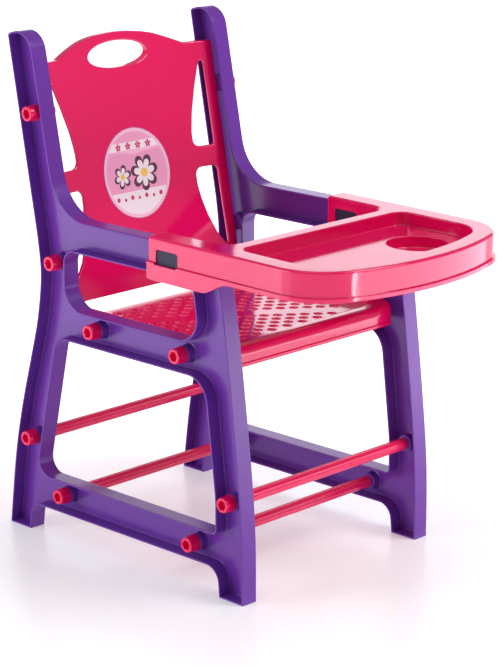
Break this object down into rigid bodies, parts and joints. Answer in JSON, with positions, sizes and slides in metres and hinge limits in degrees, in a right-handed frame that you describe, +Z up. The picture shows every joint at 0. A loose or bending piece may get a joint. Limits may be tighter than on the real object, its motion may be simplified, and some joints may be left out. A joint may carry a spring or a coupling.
{
  "type": "toy high chair",
  "caption": "Toy high chair for dolls with channel side frames, perforated seat, dished backrest, cross rods and a pull-off tray with a cup well.",
  "frame": {"origin": "centre of the footprint of the whole chair with its tray, on the floor", "axes": "+Z up; the chair faces -Y; the sitter's right hand is at -X"},
  "size_m": [0.2888, 0.4663, 0.5233],
  "materials": {
    "frame_purple": "gloss",
    "panel_pink": "gloss",
    "hardware_pink": "gloss",
    "catch_slate": "satin",
    "sticker": "gloss"
  },
  "bodies": {
    "chair": {"side_frame_right": "frame_purple", "side_frame_left": "frame_purple", "cross_rod_leg_front": "hardware_pink", "cross_rod_rail_front": "hardware_pink", "cross_rod_rail_rear": "hardware_pink", "cross_rod_leg_rear": "hardware_pink", "seat": "panel_pink", "backrest": "panel_pink", "decal": "sticker", "bolt_right_leg_front": "hardware_pink", "bolt_right_rail_front": "hardware_pink", "bolt_right_rail_rear": "hardware_pink", "bolt_right_leg_rear": "hardware_pink", "bolt_right_seat_rear": "hardware_pink", "bolt_right_seat_front": "hardware_pink", "bolt_right_back_upper": "hardware_pink", "bolt_right_back_lower": "hardware_pink", "bolt_left_leg_front": "hardware_pink", "bolt_left_rail_front": "hardware_pink", "bolt_left_rail_rear": "hardware_pink", "bolt_left_leg_rear": "hardware_pink", "bolt_left_seat_rear": "hardware_pink", "bolt_left_seat_front": "hardware_pink", "bolt_left_back_upper": "hardware_pink", "bolt_left_back_lower": "hardware_pink"},
    "tray": {"tray": "panel_pink"},
    "tray_catch_right": {"tray_catch_right": "catch_slate"},
    "tray_catch_left": {"tray_catch_left": "catch_slate"}
  },
  "joints": [
    {"name": "tray_pull_off", "type": "slide", "parent": "chair", "child": "tray", "axis": [0, -1, 0], "range_m": [0, 0.1]},
    {"name": "right_catch_press", "type": "slide", "parent": "tray", "child": "tray_catch_right", "axis": [1, 0, 0], "range_m": [0, 0.003], "stiffness_N_per_m": 300, "springref_m": -0.002},
    {"name": "left_catch_press", "type": "slide", "parent": "tray", "child": "tray_catch_left", "axis": [1, 0, 0], "range_m": [0, 0.003], "stiffness_N_per_m": 300, "springref_m": -0.002}
  ]
}
